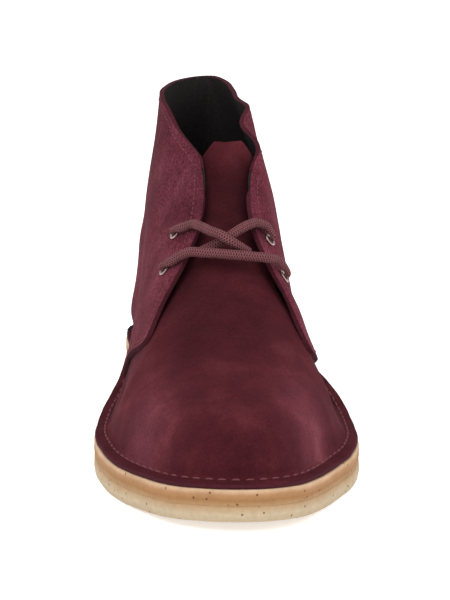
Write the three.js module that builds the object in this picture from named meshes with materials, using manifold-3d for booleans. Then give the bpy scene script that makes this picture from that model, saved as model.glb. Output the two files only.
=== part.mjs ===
// Desert boot for the right foot: two-eyelet ankle boot of soft suede, stitched down on a crepe sole.
// Millimetres, +Z up. The toe points to -Y, the inner (big toe) side is +X, and the floor is z = 0.
import * as THREE from "three";
import { mergeVertices } from "three/addons/utils/BufferGeometryUtils.js";
import Module from "manifold-3d";

const wasm = await Module();
wasm.setup();

// Sole sizes
const soleLength = 289;
const ballWidth = 111;
const outsoleThickness = 7;
const midsoleThickness = 6.7;
const toeThinning = 0.5;
const heelLift = 12;
const toeSpring = 4.6;
const layerGap = 0.3;
const soleEdgeRound = 1.5;
const forefootFlatFront = -84;
const archStart = -32;
const heelBreast = 58;
const heelFront = 46;
const heelSlant = 7;

// Upper sizes
const bootHeight = 141;
const suedeThickness = 2;
const flangeWidth = 6.6;
const flangeThickness = 2.2;
const flangeEdgeInset = 0.7;
const seamOverlap = 11;
const flapForward = 0.08;
const flapDrop = 0.04;
const skinPress = 0.2;
const throatBack = -25;
const insoleThickness = 3;
const insoleClearance = 1.5;

// Tongue, seen along the instep from its root on the vamp
const tongueHalfWidth = 21;
const tongueRoot = { y: -54, z: 62 };
const tongueTip = { y: 30, z: 127 };
const tongueTipRound = 22;

// Eyelets and lace
const eyeletOuterRadius = 2.9;
const eyeletBoreRadius = 1.75;
const eyeletBarrelRadius = 2.25;
const eyeletRimThickness = 0.55;
const eyeletClinchThickness = 0.4;
const eyeletClearance = 0.4;
const laceWidth = 4;
const laceThickness = 3.4;
const laceBoreWidth = 2.4;
const laceDrop = 0.9;
const laceRise = 2.2;

// Mesh fineness
const soleStations = 33;
const upperRings = 22;
const upperSteps = 22;
const edgeSteps = 8;
const eyeletSides = 12;
const laceSides = 8;

// The outline of the sole. along is the share of the length from the toe; the half-widths on
// the outer and inner side of the spine, and the spine's own place, are shares of ballWidth.
const outlineTable = [
  { along: 0.0, lateral: 0.0, medial: 0.0, spine: 0.05 },
  { along: 0.02, lateral: 0.172, medial: 0.15, spine: 0.048 },
  { along: 0.045, lateral: 0.255, medial: 0.222, spine: 0.044 },
  { along: 0.107, lateral: 0.35, medial: 0.318, spine: 0.034 },
  { along: 0.173, lateral: 0.421, medial: 0.4, spine: 0.021 },
  { along: 0.225, lateral: 0.457, medial: 0.462, spine: 0.012 },
  { along: 0.3, lateral: 0.483, medial: 0.508, spine: 0.003 },
  { along: 0.35, lateral: 0.487, medial: 0.514, spine: -0.001 },
  { along: 0.4, lateral: 0.481, medial: 0.511, spine: -0.001 },
  { along: 0.45, lateral: 0.467, medial: 0.5, spine: -0.001 },
  { along: 0.5, lateral: 0.44, medial: 0.479, spine: -0.001 },
  { along: 0.55, lateral: 0.411, medial: 0.447, spine: -0.001 },
  { along: 0.61, lateral: 0.383, medial: 0.398, spine: -0.001 },
  { along: 0.727, lateral: 0.352, medial: 0.338, spine: -0.001 },
  { along: 0.848, lateral: 0.352, medial: 0.34, spine: -0.001 },
  { along: 0.95, lateral: 0.237, medial: 0.235, spine: -0.001 },
  { along: 1.0, lateral: 0.0, medial: 0.0, spine: -0.001 },
];

// The top line of the foot from the toe, as heights above the foot line in shares of
// bootHeight: vamp is the skin of the toe box and tongue, quarter that of the lacing flaps.
// power and soften shape the arch of each cross-section.
const ridgeTable = [
  { along: 0.0, vamp: 0.0, quarter: 0.0, power: 2.6, soften: 2.1 },
  { along: 0.01, vamp: 0.1, quarter: 0.1, power: 2.6, soften: 2.1 },
  { along: 0.03, vamp: 0.167, quarter: 0.167, power: 2.6, soften: 2.1 },
  { along: 0.07, vamp: 0.213, quarter: 0.213, power: 2.6, soften: 2.1 },
  { along: 0.13, vamp: 0.25, quarter: 0.25, power: 2.5, soften: 2.1 },
  { along: 0.2, vamp: 0.295, quarter: 0.295, power: 2.3, soften: 2.0 },
  { along: 0.28, vamp: 0.36, quarter: 0.36, power: 2.1, soften: 1.85 },
  { along: 0.334, vamp: 0.415, quarter: 0.427, power: 2.0, soften: 1.8 },
  { along: 0.382, vamp: 0.462, quarter: 0.496, power: 1.95, soften: 1.7 },
  { along: 0.434, vamp: 0.505, quarter: 0.55, power: 1.95, soften: 1.7 },
  { along: 0.487, vamp: 0.55, quarter: 0.597, power: 2.0, soften: 1.7 },
  { along: 0.542, vamp: 0.61, quarter: 0.664, power: 2.1, soften: 1.7 },
  { along: 0.58, vamp: 0.67, quarter: 0.725, power: 2.2, soften: 1.75 },
  { along: 0.62, vamp: 0.76, quarter: 0.83, power: 2.2, soften: 1.8 },
  { along: 0.66, vamp: 0.88, quarter: 1.03, power: 2.3, soften: 1.9 },
  { along: 0.7, vamp: 1.0, quarter: 1.35, power: 2.4, soften: 2.0 },
  { along: 0.82, vamp: 1.3, quarter: 2.6, power: 2.4, soften: 2.0 },
  { along: 1.0, vamp: 1.6, quarter: 4.0, power: 2.4, soften: 2.0 },
];

// How the walls lean in above the flange, as shares of the width: lateral and medial draw that
// side in from low down to the top, and pinch draws both in at mid height.
const wallTable = [
  { along: 0.0, lateral: 0.0, medial: 0.0, pinch: 0.0 },
  { along: 0.2, lateral: 0.0, medial: 0.02, pinch: 0.0 },
  { along: 0.28, lateral: 0.0, medial: 0.03, pinch: 0.02 },
  { along: 0.334, lateral: 0.0, medial: 0.025, pinch: 0.075 },
  { along: 0.382, lateral: 0.0, medial: 0.055, pinch: 0.09 },
  { along: 0.434, lateral: 0.01, medial: 0.14, pinch: 0.085 },
  { along: 0.487, lateral: 0.01, medial: 0.185, pinch: 0.07 },
  { along: 0.542, lateral: 0.01, medial: 0.2, pinch: 0.04 },
  { along: 0.6, lateral: 0.0, medial: 0.18, pinch: 0.01 },
  { along: 0.66, lateral: 0.0, medial: 0.11, pinch: 0.0 },
  { along: 0.75, lateral: 0.0, medial: 0.03, pinch: 0.0 },
  { along: 1.0, lateral: 0.0, medial: 0.0, pinch: 0.0 },
];

// How the shaft changes with height, a share of bootHeight. lateral and medial are shares of
// that side's width at the foot line; lean is how far the heel's back line moves forward, a
// share of soleLength; swing moves the throat toward the inner side, a share of ballWidth.
const shaftTable = [
  { height: 0.15, lateral: 1.0, medial: 1.0, lean: 0.0, swing: 0.0 },
  { height: 0.32, lateral: 0.99, medial: 0.95, lean: -0.006, swing: 0.005 },
  { height: 0.48, lateral: 0.94, medial: 0.9, lean: 0.004, swing: 0.015 },
  { height: 0.62, lateral: 0.87, medial: 0.79, lean: 0.02, swing: 0.03 },
  { height: 0.78, lateral: 0.79, medial: 0.62, lean: 0.038, swing: 0.04 },
  { height: 0.91, lateral: 0.72, medial: 0.42, lean: 0.048, swing: 0.045 },
  { height: 1.0, lateral: 0.69, medial: 0.3, lean: 0.05, swing: 0.045 },
  { height: 1.25, lateral: 0.68, medial: 0.28, lean: 0.052, swing: 0.045 },
];

// Where the narrowing of the shaft begins on each side, as a share of soleLength from the middle
const shaftFront = { lateral: 0.02, medial: -0.04 };

// The edge of the quarters seen from the side, from the flange round the front and along the
// top: y is a share of soleLength from the middle, z a share of bootHeight.
const quarterEdge = {
  seam: [
    { y: 0.046, z: 0.0 },
    { y: 0.036, z: 0.17 },
    { y: -0.026, z: 0.252 },
    { y: -0.095, z: 0.318 },
    { y: -0.148, z: 0.362 },
    { y: -0.168, z: 0.384 },
  ],
  front: [
    { y: -0.168, z: 0.404 },
    { y: -0.134, z: 0.48 },
    { y: -0.067, z: 0.61 },
    { y: -0.005, z: 0.71 },
    { y: 0.046, z: 0.79 },
    { y: 0.069, z: 0.825 },
  ],
  top: [
    { y: 0.082, z: 0.845 },
    { y: 0.129, z: 0.9 },
    { y: 0.191, z: 0.965 },
    { y: 0.253, z: 0.99 },
    { y: 0.345, z: 0.995 },
    { y: 0.428, z: 1.0 },
  ],
};

// Soft waves of the inner side near the collar. y and width are shares of soleLength, from a
// share of bootHeight; depth is in millimetres, outward where positive.
const collarFolds = [
  { side: "medial", y: 0.215, width: 0.028, depth: 4, from: 0.7 },
  { side: "medial", y: 0.155, width: 0.028, depth: -4.4, from: 0.7 },
  { side: "medial", y: 0.1, width: 0.03, depth: 3.8, from: 0.7 },
  { side: "lateral", y: 0.11, width: 0.085, depth: -7, from: 0.55 },
];

// The four eyelets seen from the side, as shares of soleLength and bootHeight
const eyeletPlaces = {
  lowerLateral: { side: "lateral", y: -0.048, z: 0.564 },
  upperLateral: { side: "lateral", y: 0.009, z: 0.652 },
  lowerMedial: { side: "medial", y: -0.071, z: 0.55 },
  upperMedial: { side: "medial", y: -0.021, z: 0.642 },
};

// Where the lace runs outside the quarters. across is the share of the way from the outer
// eyelets to the inner ones, down from the upper eyelets to the lower ones, and rise the
// height above that in lace widths.
const laceRuns = {
  bar: [
    { across: 0.080, down: 1.251, rise: 2.065 },
    { across: 0.148, down: 1.318, rise: 2.935 },
    { across: 0.234, down: 1.442, rise: 3.870 },
    { across: 0.335, down: 1.595, rise: 4.484 },
    { across: 0.463, down: 1.679, rise: 4.799 },
    { across: 0.584, down: 1.703, rise: 4.845 },
    { across: 0.692, down: 1.665, rise: 4.639 },
    { across: 0.811, down: 1.522, rise: 3.997 },
    { across: 0.941, down: 1.163, rise: 2.285 },
  ],
  lateralArm: [
    { across: 0.090, down: 0.271, rise: 1.794 },
    { across: 0.205, down: 0.425, rise: 2.844 },
    { across: 0.300, down: 0.756, rise: 3.951 },
    { across: 0.376, down: 1.104, rise: 4.957 },
    { across: 0.464, down: 1.344, rise: 5.513 },
    { across: 0.535, down: 1.427, rise: 5.290 },
    { across: 0.615, down: 1.331, rise: 4.303 },
    { across: 0.698, down: 1.132, rise: 2.961 },
  ],
  medialArm: [
    { across: 0.985, down: -0.065, rise: 1.154 },
    { across: 0.851, down: 0.151, rise: 2.378 },
    { across: 0.744, down: 0.444, rise: 3.254 },
    { across: 0.641, down: 0.715, rise: 3.724 },
    { across: 0.542, down: 0.969, rise: 3.889 },
    { across: 0.458, down: 1.070, rise: 3.566 },
    { across: 0.374, down: 1.104, rise: 3.108 },
    { across: 0.298, down: 1.104, rise: 2.567 },
  ],
};

// A smooth curve through one column of a table, read at a value of its key
function curveThrough(rows, keyOf, column) {
  const keys = rows.map(keyOf);
  const values = rows.map((row) => row[column]);
  const slopes = keys.map((key, i) => {
    const before = Math.max(i - 1, 0);
    const after = Math.min(i + 1, keys.length - 1);
    return (values[after] - values[before]) / (keys[after] - keys[before]);
  });
  return (at) => {
    const key = THREE.MathUtils.clamp(at, keys[0], keys[keys.length - 1]);
    let i = 0;
    while (i < keys.length - 2 && key > keys[i + 1]) i++;
    const span = keys[i + 1] - keys[i];
    const t = (key - keys[i]) / span;
    const ease = t * t * (3 - 2 * t);
    const bend = slopes[i] * t * (1 - t) * (1 - t) - slopes[i + 1] * t * t * (1 - t);
    return values[i] + (values[i + 1] - values[i]) * ease + span * bend;
  };
}

// Places along the foot are read by an angle, 0 at the toe and pi at the heel, so that both
// ends of the outline come out round.
const angleOf = (row) => Math.acos(1 - 2 * row.along);
const sideWidth = {
  lateral: curveThrough(outlineTable, angleOf, "lateral"),
  medial: curveThrough(outlineTable, angleOf, "medial"),
};
const spineShare = curveThrough(outlineTable, angleOf, "spine");
const ridge = {
  vamp: curveThrough(ridgeTable, angleOf, "vamp"),
  quarter: curveThrough(ridgeTable, angleOf, "quarter"),
};
const archPower = curveThrough(ridgeTable, angleOf, "power");
const archSoften = curveThrough(ridgeTable, angleOf, "soften");
const wallTuck = {
  lateral: curveThrough(wallTable, angleOf, "lateral"),
  medial: curveThrough(wallTable, angleOf, "medial"),
};
const wallPinch = curveThrough(wallTable, angleOf, "pinch");
const shaftCurve = (column) => curveThrough(shaftTable, (row) => row.height, column);
const shaftWidth = { lateral: shaftCurve("lateral"), medial: shaftCurve("medial") };
const shaftLean = shaftCurve("lean");
const shaftSwing = shaftCurve("swing");

const direction = { lateral: -1, medial: 1 };
const smoothstep = THREE.MathUtils.smoothstep;

// Angle along a foot outline that is inset from the sole's edge
function angleAt(y, inset) {
  const reach = soleLength / 2 - inset;
  return Math.acos(THREE.MathUtils.clamp(-y / reach, -1, 1));
}

// Half-width from the spine of the outline inset from the sole's edge
function outlineHalf(side, angle, inset) {
  return sideWidth[side](angle) * ballWidth - inset * Math.sin(angle);
}

const spineX = (y) => spineShare(angleAt(y, 0)) * ballWidth;

// Grows from 0 in front of the flat of the forefoot to 1 at the toe
function springShare(y) {
  const share = Math.max(0, forefootFlatFront - y) / (soleLength / 2 + forefootFlatFront);
  return share * share;
}

// Underside of the outsole: toe spring, flat forefoot, arch, level heel seat
const treadLine = (y) => toeSpring * springShare(y) + heelLift * smoothstep(y, archStart, heelBreast);

// Top of the outsole, and the line on top of the midsole where the upper's flange lies
const outsoleTop = (y) => treadLine(y) + outsoleThickness - toeThinning * springShare(y);
const footLine = (y) => outsoleTop(y) + midsoleThickness + 2 * layerGap;

// Merges a geometry's shared vertices and hands it over as a solid, faces out
function solidOf(geometry) {
  const bare = new THREE.BufferGeometry();
  bare.setAttribute("position", geometry.getAttribute("position"));
  bare.setIndex(geometry.getIndex());
  const merged = mergeVertices(bare, 1e-4);
  const corners = merged.getIndex().array;
  const triangles = [];
  for (let i = 0; i < corners.length; i += 3) {
    const [a, b, c] = [corners[i], corners[i + 1], corners[i + 2]];
    if (a !== b && b !== c && c !== a) triangles.push(a, b, c);
  }
  const make = (triVerts) =>
    new wasm.Manifold(
      new wasm.Mesh({
        numProp: 3,
        vertProperties: new Float32Array(merged.getAttribute("position").array),
        triVerts: new Uint32Array(triVerts),
      }),
    );
  const solid = make(triangles);
  return solid.volume() > 0 ? solid : make(triangles.reverse());
}

function geometryOf(solid) {
  const mesh = solid.getMesh();
  const places = new Float32Array(mesh.numVert * 3);
  for (let i = 0; i < mesh.numVert; i++) {
    const start = i * mesh.numProp;
    places.set(mesh.vertProperties.subarray(start, start + 3), i * 3);
  }
  const geometry = new THREE.BufferGeometry();
  geometry.setAttribute("position", new THREE.BufferAttribute(places, 3));
  geometry.setIndex(new THREE.BufferAttribute(new Uint32Array(mesh.triVerts), 1));
  geometry.computeVertexNormals();
  return geometry;
}

// A closed skin over rows of points: each row is a loop, and both end rows are closed by
// strips between the points that face each other across the loop.
function loftLoops(loops) {
  const count = loops[0].length;
  const places = loops.flat().flatMap((p) => [p.x, p.y, p.z]);
  const corners = [];
  for (let row = 0; row < loops.length - 1; row++) {
    for (let k = 0; k < count; k++) {
      const next = (k + 1) % count;
      const [a, b] = [row * count + k, row * count + next];
      const [c, d] = [a + count, b + count];
      corners.push(a, b, d, a, d, c);
    }
  }
  const closeEnd = (row, flip) => {
    const start = row * count;
    for (let k = 0; k < count / 2 - 1; k++) {
      const [a, b] = [start + k, start + k + 1];
      const [c, d] = [start + count - 1 - k, start + count - 2 - k];
      corners.push(...(flip ? [a, c, b, b, c, d] : [a, b, c, b, d, c]));
    }
  };
  closeEnd(0, true);
  closeEnd(loops.length - 1, false);
  const geometry = new THREE.BufferGeometry();
  geometry.setAttribute("position", new THREE.Float32BufferAttribute(places, 3));
  geometry.setIndex(corners);
  return solidOf(geometry);
}

// One loop of the sole's outline at an inset, from the toe back along the outer side and
// forward along the inner side, at the height that lift gives for each y
function outlineLoop(inset, lift, firstAngle = 0) {
  const at = (side, angle) => {
    const y = -(soleLength / 2 - inset) * Math.cos(angle);
    const x = spineX(y) + direction[side] * outlineHalf(side, angle, inset);
    return new THREE.Vector3(x, y, lift(y));
  };
  const angles = [];
  for (let i = 0; i <= soleStations; i++) {
    angles.push(firstAngle + ((Math.PI - firstAngle) * i) / soleStations);
  }
  const lateral = angles.map((angle) => at("lateral", angle));
  const medial = angles.map((angle) => at("medial", angle));
  return [...lateral, ...medial.reverse()];
}

// A layer of the sole between two height lines, with rounded edges
function soleLayer(bottom, top, bottomRound, topRound, inset = 0) {
  return loftLoops([
    outlineLoop(inset + bottomRound, bottom),
    outlineLoop(inset, (y) => bottom(y) + bottomRound),
    outlineLoop(inset, (y) => top(y) - topRound),
    outlineLoop(inset + topRound, top),
  ]);
}

// How far a point of the shaft is pulled forward by the leaning back line
const leanWeight = (y) => smoothstep(y, 0.02 * soleLength, 0.3 * soleLength);
const leanAt = (z) => shaftLean(z / bootHeight) * soleLength;

// Middle of the upper at a place seen from the side
const upperMiddle = (y, z) => spineX(y) + shaftSwing(z / bootHeight) * ballWidth * (1 - leanWeight(y));

// Half-width of the upper on one side, at a place seen from the side. skin names the ridge
// that it arches over, and offset is how far outside that skin the surface lies.
function upperHalf(skin, side, y, z, offset) {
  const inset = flangeWidth - offset;
  const angle = angleAt(y + leanAt(z) * leanWeight(y), inset);
  const rise = ridge[skin](angle) * bootHeight + offset;
  const share = THREE.MathUtils.clamp((z - footLine(y)) / Math.max(rise, 1e-6), 0, 1);
  const arch = (1 - share ** archPower(angle)) ** (1 / archSoften(angle));
  const rear = smoothstep(y / soleLength, shaftFront[side], shaftFront[side] + 0.28);
  const narrow = 1 + (shaftWidth[side](z / bootHeight) - 1) * rear;
  const tuck = 1 - wallTuck[side](angle) * smoothstep(share, 0, 0.3);
  const waist = 1 - wallPinch(angle) * smoothstep(share, 0, 0.3) * (1 - smoothstep(share, 0.55, 0.85));
  const width = outlineHalf(side, angle, inset) * arch * narrow * tuck * waist;
  return width + foldDepth(side, y, z, arch);
}

// Soft waves of a side near its top edge, outward where depth is positive
function foldDepth(side, y, z, arch) {
  let depth = 0;
  for (const fold of collarFolds) {
    if (fold.side !== side) continue;
    const across = (y / soleLength - fold.y) / fold.width;
    const up = smoothstep(z / bootHeight, fold.from, 1);
    depth += fold.depth * Math.exp(-across * across) * up * Math.min(1, 2 * arch);
  }
  return depth;
}

// Angles along the ridge, evenly spaced by its length, up to the angle of the last ring
function ridgeAngles(skin, lastAngle, offset) {
  const fine = 400;
  const reach = soleLength / 2 - flangeWidth + offset;
  const points = [];
  for (let i = 0; i <= fine; i++) {
    const angle = (lastAngle * i) / fine;
    const y = -reach * Math.cos(angle);
    points.push({ angle, y, z: footLine(y) + ridge[skin](angle) * bootHeight });
  }
  const lengths = [0];
  for (let i = 1; i <= fine; i++) {
    const step = Math.hypot(points[i].y - points[i - 1].y, points[i].z - points[i - 1].z);
    lengths.push(lengths[i - 1] + step);
  }
  const angles = [];
  for (let ring = 0, i = 0; ring <= upperRings; ring++) {
    const wanted = (lengths[fine] * ring) / upperRings;
    while (i < fine && lengths[i] < wanted) i++;
    angles.push(points[i].angle);
  }
  return angles;
}

// A closed body inside one skin, in rings from the foot line to above the collar. Each ring
// runs from the ridge in front to the heel's back line. dip lowers its underside.
function upperBody(skin, offset, topAlong, backTop, dip) {
  const reach = soleLength / 2 - flangeWidth + offset;
  const angles = ridgeAngles(skin, Math.acos(1 - 2 * topAlong), offset);
  const heelLine = footLine(reach);
  const loops = angles.map((front, ring) => {
    const yFront = -reach * Math.cos(front);
    const riseFront = ridge[skin](front) * bootHeight + (ring ? offset : 0);
    const riseBack = ((backTop - heelLine) * ring) / upperRings;
    const yBack = reach - (ring ? leanAt(heelLine + riseBack) : 0);
    const side = (name) => {
      const points = [];
      for (let i = 0; i <= upperSteps; i++) {
        const share = (1 - Math.cos((Math.PI * i) / upperSteps)) / 2;
        const y = yFront + (yBack - yFront) * share;
        const z = footLine(y) + riseFront + (riseBack - riseFront) * share;
        const end = i === 0 || i === upperSteps;
        const half = end ? 0 : upperHalf(skin, name, y, z, offset);
        points.push(new THREE.Vector3(upperMiddle(y, z) + direction[name] * half, y, z));
      }
      return points;
    };
    return [...side("lateral"), ...side("medial").reverse()];
  });
  if (dip) loops.unshift(loops[0].map((p) => new THREE.Vector3(p.x, p.y, p.z - dip)));
  return loftLoops(loops);
}

// A prism across the whole boot from a closed outline seen from the side. forward and drop
// move it that far forward and down for each millimetre toward the inner side.
function acrossPrism(outline, forward = 0, drop = 0) {
  const shape = new THREE.Shape(outline.map((p) => new THREE.Vector2(p.y, p.z)));
  const geometry = new THREE.ExtrudeGeometry(shape, {
    depth: 2 * ballWidth,
    bevelEnabled: false,
    curveSegments: 1,
  });
  const alongX = new THREE.Matrix4().makeBasis(
    new THREE.Vector3(0, 1, 0),
    new THREE.Vector3(0, 0, 1),
    new THREE.Vector3(1, 0, 0),
  );
  const skew = new THREE.Matrix4().set(1, 0, 0, 0, -forward, 1, 0, 0, -drop, 0, 1, 0, 0, 0, 0, 1);
  geometry.translate(0, 0, -ballWidth).applyMatrix4(alongX).applyMatrix4(skew);
  return solidOf(geometry);
}

// Points of one edge of the quarters in millimetres, moved back by shift
function edgePoints(rows, shift = 0) {
  const places = rows.map((row) => new THREE.Vector2(row.y * soleLength + shift, row.z * bootHeight));
  const curve = new THREE.SplineCurve(places);
  return curve.getSpacedPoints(edgeSteps).map((p) => ({ y: p.x, z: p.y }));
}

// Side view of the quarters, and of the vamp with its allowance under them
const seam = edgePoints(quarterEdge.seam);
const hiddenSeam = edgePoints(quarterEdge.seam, seamOverlap);
const aboveBoot = 1.6 * bootHeight;
const quarterOutline = [
  { y: seam[0].y, z: -heelLift },
  ...seam,
  ...edgePoints(quarterEdge.front),
  ...edgePoints(quarterEdge.top),
  { y: soleLength, z: bootHeight },
  { y: soleLength, z: -heelLift },
];
const vampOutline = [
  { y: -soleLength, z: -heelLift },
  { y: hiddenSeam[0].y, z: -heelLift },
  ...hiddenSeam,
  { y: throatBack, z: hiddenSeam[edgeSteps].z + 8 },
  { y: throatBack, z: aboveBoot },
  { y: -soleLength, z: aboveBoot },
];

// Prism of the tongue, along the slope of the instep, with a rounded tip
function tonguePrism() {
  const along = new THREE.Vector3(0, tongueTip.y - tongueRoot.y, tongueTip.z - tongueRoot.z);
  const length = along.length();
  along.normalize();
  const out = new THREE.Vector3(0, -along.z, along.y);
  const across = new THREE.Vector3().crossVectors(along, out);
  const shape = new THREE.Shape();
  shape.moveTo(-tongueHalfWidth, 0);
  shape.lineTo(tongueHalfWidth, 0);
  shape.lineTo(tongueHalfWidth, length - tongueTipRound);
  shape.quadraticCurveTo(tongueHalfWidth, length, 0, length);
  shape.quadraticCurveTo(-tongueHalfWidth, length, -tongueHalfWidth, length - tongueTipRound);
  const depth = 0.4 * bootHeight;
  const geometry = new THREE.ExtrudeGeometry(shape, { depth, bevelEnabled: false, curveSegments: 8 });
  geometry.translate(0, 0, -depth / 2);
  geometry.applyMatrix4(new THREE.Matrix4().makeBasis(across, along, out));
  geometry.translate(0, tongueRoot.y, tongueRoot.z);
  return solidOf(geometry);
}

const outsole = soleLayer(treadLine, outsoleTop, soleEdgeRound, 0.4);
const midsole = soleLayer((y) => outsoleTop(y) + layerGap, (y) => footLine(y) - layerGap, 0.4, 0.8);

// Heel lift: starts with a slanted breast and fills the space under the outsole
const heelLoop = (inset, lift, back) => outlineLoop(inset, lift, angleAt(heelFront + back, inset));
const heelTop = (y) => treadLine(y) - layerGap;
const heel = loftLoops([
  heelLoop(soleEdgeRound, () => 0, heelSlant),
  heelLoop(0, () => soleEdgeRound, heelSlant * 0.8),
  heelLoop(0, (y) => heelTop(y) - 0.4, 0),
  heelLoop(0.4, heelTop, 0),
]);

// Walls of the upper, as one skin laid over the next
const collarTop = 1.25 * bootHeight;
const quarterSkin = (offset, dip) => upperBody("quarter", offset, 0.68, collarTop, dip);
const vampSkin = (offset, dip) => upperBody("vamp", offset, 0.7, collarTop, dip);
const hollow = vampSkin(-suedeThickness, heelLift);
const quarters = quarterSkin(suedeThickness, 0)
  .subtract(quarterSkin(0, heelLift))
  .intersect(acrossPrism(quarterOutline, flapForward, flapDrop));
const vamp = vampSkin(skinPress, 0)
  .subtract(hollow)
  .intersect(acrossPrism(vampOutline, flapForward, flapDrop).add(tonguePrism()));
const flange = soleLayer(footLine, (y) => footLine(y) + flangeThickness, 0.4, 0.4, flangeEdgeInset)
  .subtract(hollow);

// Where each eyelet sits on the outer face, with the way out and the way to its neighbour
function eyeletSeat({ side, y, z }) {
  const at = (dy, dz) => {
    const [py, pz] = [y * soleLength + dy, z * bootHeight + dz];
    const half = upperHalf("quarter", side, py, pz, suedeThickness);
    return new THREE.Vector3(upperMiddle(py, pz) + direction[side] * half, py, pz);
  };
  const alongY = at(1, 0).sub(at(-1, 0));
  const alongZ = at(0, 1).sub(at(0, -1));
  const out = new THREE.Vector3().crossVectors(alongY, alongZ).normalize();
  if (out.x * direction[side] < 0) out.negate();
  const turn = new THREE.Quaternion().setFromUnitVectors(new THREE.Vector3(0, 1, 0), out);
  return { place: at(0, 0), out, turn };
}

function onSeat(geometry, seat) {
  geometry.applyQuaternion(seat.turn).translate(seat.place.x, seat.place.y, seat.place.z);
  return solidOf(geometry);
}

// Section of an eyelet: a barrel with a rim outside and a clinched rim inside
function eyelet(seat) {
  const rimOut = eyeletClearance + eyeletRimThickness;
  const under = -suedeThickness - eyeletClearance;
  const section = [
    [eyeletBoreRadius, under - eyeletClinchThickness],
    [eyeletOuterRadius, under - eyeletClinchThickness],
    [eyeletOuterRadius, under],
    [eyeletBarrelRadius, under],
    [eyeletBarrelRadius, eyeletClearance],
    [eyeletOuterRadius, eyeletClearance],
    [eyeletOuterRadius - 0.4, rimOut],
    [eyeletBoreRadius, rimOut],
    [eyeletBoreRadius, under - eyeletClinchThickness],
  ];
  const points = section.map(([radius, height]) => new THREE.Vector2(radius, height));
  return onSeat(new THREE.LatheGeometry(points, eyeletSides), seat);
}

function eyeletHole(seat) {
  const radius = eyeletBarrelRadius + eyeletClearance;
  return onSeat(new THREE.CylinderGeometry(radius, radius, 4 * suedeThickness, eyeletSides), seat);
}

// The lace on the axis of an eyelet, from just inside the quarter to just outside it
function throughEyelet(seat) {
  const heights = [-suedeThickness - laceDrop, -suedeThickness / 2, laceRise];
  return heights.map((height) => seat.place.clone().addScaledVector(seat.out, height));
}

// A flat lace along points, narrowed to pass each eyelet that it goes through
function laceTube(points, seats, steps) {
  const curve = new THREE.CatmullRomCurve3(points, false, "centripetal");
  const loops = [];
  for (let i = 0; i <= steps; i++) {
    const at = curve.getPointAt(i / steps);
    const tangent = curve.getTangentAt(i / steps);
    const nearest = Math.min(...seats.map((seat) => seat.place.distanceTo(at)));
    const full = smoothstep(nearest, 4, 8);
    const width = THREE.MathUtils.lerp(laceBoreWidth, laceWidth, full);
    const thickness = THREE.MathUtils.lerp(laceBoreWidth, laceThickness, full);
    const flat = seats.reduce((sum, seat) => {
      const near = 1 / seat.place.distanceToSquared(at);
      return sum.addScaledVector(seat.out, near);
    }, new THREE.Vector3(0, -0.02, 0.02));
    const across = new THREE.Vector3().crossVectors(tangent, flat).normalize();
    const up = new THREE.Vector3().crossVectors(across, tangent).normalize();
    const loop = [];
    for (let k = 0; k < laceSides; k++) {
      const angle = (2 * Math.PI * (k + 0.5)) / laceSides;
      const point = at.clone().addScaledVector(across, (width / 2) * Math.cos(angle));
      loop.push(point.addScaledVector(up, (thickness / 2) * Math.sin(angle)));
    }
    loops.push(loop);
  }
  return loftLoops(loops);
}

const seats = {};
for (const [name, place] of Object.entries(eyeletPlaces)) seats[name] = eyeletSeat(place);

// Points of the lace from its table, set out from the four eyelets
function runPoints(rows) {
  return rows.map(({ across, down, rise }) => {
    const upper = seats.upperLateral.place.clone().lerp(seats.upperMedial.place, across);
    const lower = seats.lowerLateral.place.clone().lerp(seats.lowerMedial.place, across);
    const point = upper.lerp(lower, down);
    point.z += rise * laceWidth;
    return point;
  });
}

const lace = laceTube(
  [
    ...throughEyelet(seats.lowerLateral),
    ...runPoints(laceRuns.bar),
    ...throughEyelet(seats.lowerMedial).reverse(),
  ],
  [seats.lowerLateral, seats.lowerMedial],
  44,
);
const laceArm = (seat, run) => laceTube([...throughEyelet(seat), ...runPoints(run)], [seat], 26);

const upper = Object.values(seats).reduce(
  (solid, seat) => solid.subtract(eyeletHole(seat)),
  quarters.add(vamp).add(flange),
);
const insoleInset = flangeWidth + suedeThickness + insoleClearance;
const insole = soleLayer(footLine, (y) => footLine(y) + insoleThickness, 0.4, 0.4, insoleInset);

const group = new THREE.Group();
function addPiece(name, solid, colour, roughness, metalness = 0) {
  const material = new THREE.MeshStandardMaterial({ color: colour, roughness, metalness });
  const mesh = new THREE.Mesh(geometryOf(solid), material);
  mesh.name = name;
  group.add(mesh);
}
addPiece("outsole", outsole, 0xd9c8a6, 0.8);
addPiece("midsole", midsole, 0xc09a6a, 0.8);
addPiece("heel", heel, 0xd9c8a6, 0.8);
addPiece("upper", upper, 0x5c2a33, 0.95);
addPiece("insole", insole, 0x2a2424, 0.9);
addPiece("eyelet_lower_lateral", eyelet(seats.lowerLateral), 0xb9aaa6, 0.35, 1);
addPiece("eyelet_upper_lateral", eyelet(seats.upperLateral), 0xb9aaa6, 0.35, 1);
addPiece("eyelet_lower_medial", eyelet(seats.lowerMedial), 0xb9aaa6, 0.35, 1);
addPiece("eyelet_upper_medial", eyelet(seats.upperMedial), 0xb9aaa6, 0.35, 1);
addPiece("lace", lace, 0x6a3a40, 0.9);
addPiece("lace_end_lateral", laceArm(seats.upperLateral, laceRuns.lateralArm), 0x6a3a40, 0.9);
addPiece("lace_end_medial", laceArm(seats.upperMedial, laceRuns.medialArm), 0x6a3a40, 0.9);

export default group;
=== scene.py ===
"""Desert boot for the right foot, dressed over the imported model. Metres, +Z up, toe toward -Y."""
import math
import random

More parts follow.
